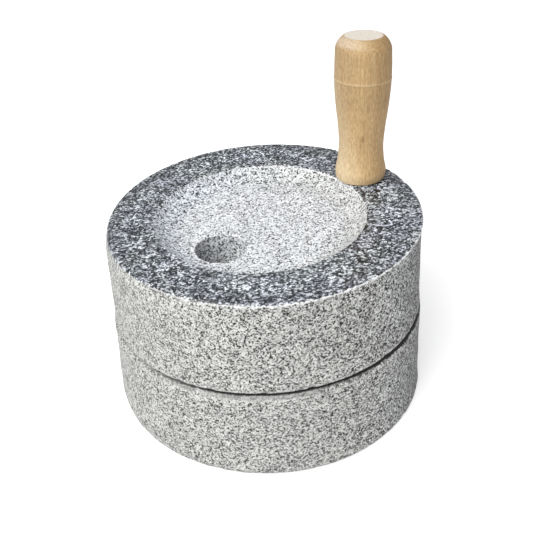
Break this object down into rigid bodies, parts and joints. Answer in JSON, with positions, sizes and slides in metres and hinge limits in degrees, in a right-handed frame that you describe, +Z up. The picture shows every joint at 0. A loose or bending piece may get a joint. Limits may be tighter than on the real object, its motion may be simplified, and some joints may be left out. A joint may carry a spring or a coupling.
{
  "type": "rotary quern",
  "caption": "Small granite hand mill: a runner stone with a shallow hopper, feed eye and upright wooden handle turns on a bed stone.",
  "frame": {"origin": "centre of the bed stone's underside, on the axis that the runner stone turns about", "axes": "+Z up the pivot axis, +X from the axis towards the foot of the handle at rest"},
  "size_m": [0.2073, 0.2066, 0.2235],
  "materials": {
    "bed_granite": "sawn and bush-hammered, matt",
    "runner_granite": "polished dark top ring, matt sides and hopper",
    "turned_wood": "turned and sanded, unvarnished",
    "steel": "plain round bar"
  },
  "bodies": {
    "base": {"lower_stone": "bed_granite", "pivot_pin": "steel"},
    "runner": {"upper_stone": "runner_granite", "handle": "turned_wood"}
  },
  "joints": [
    {"name": "runner_spin", "type": "hinge", "parent": "base", "child": "runner", "pos_m": [0, 0, 0.0645], "axis": [0, 0, 1], "continuous": true}
  ]
}
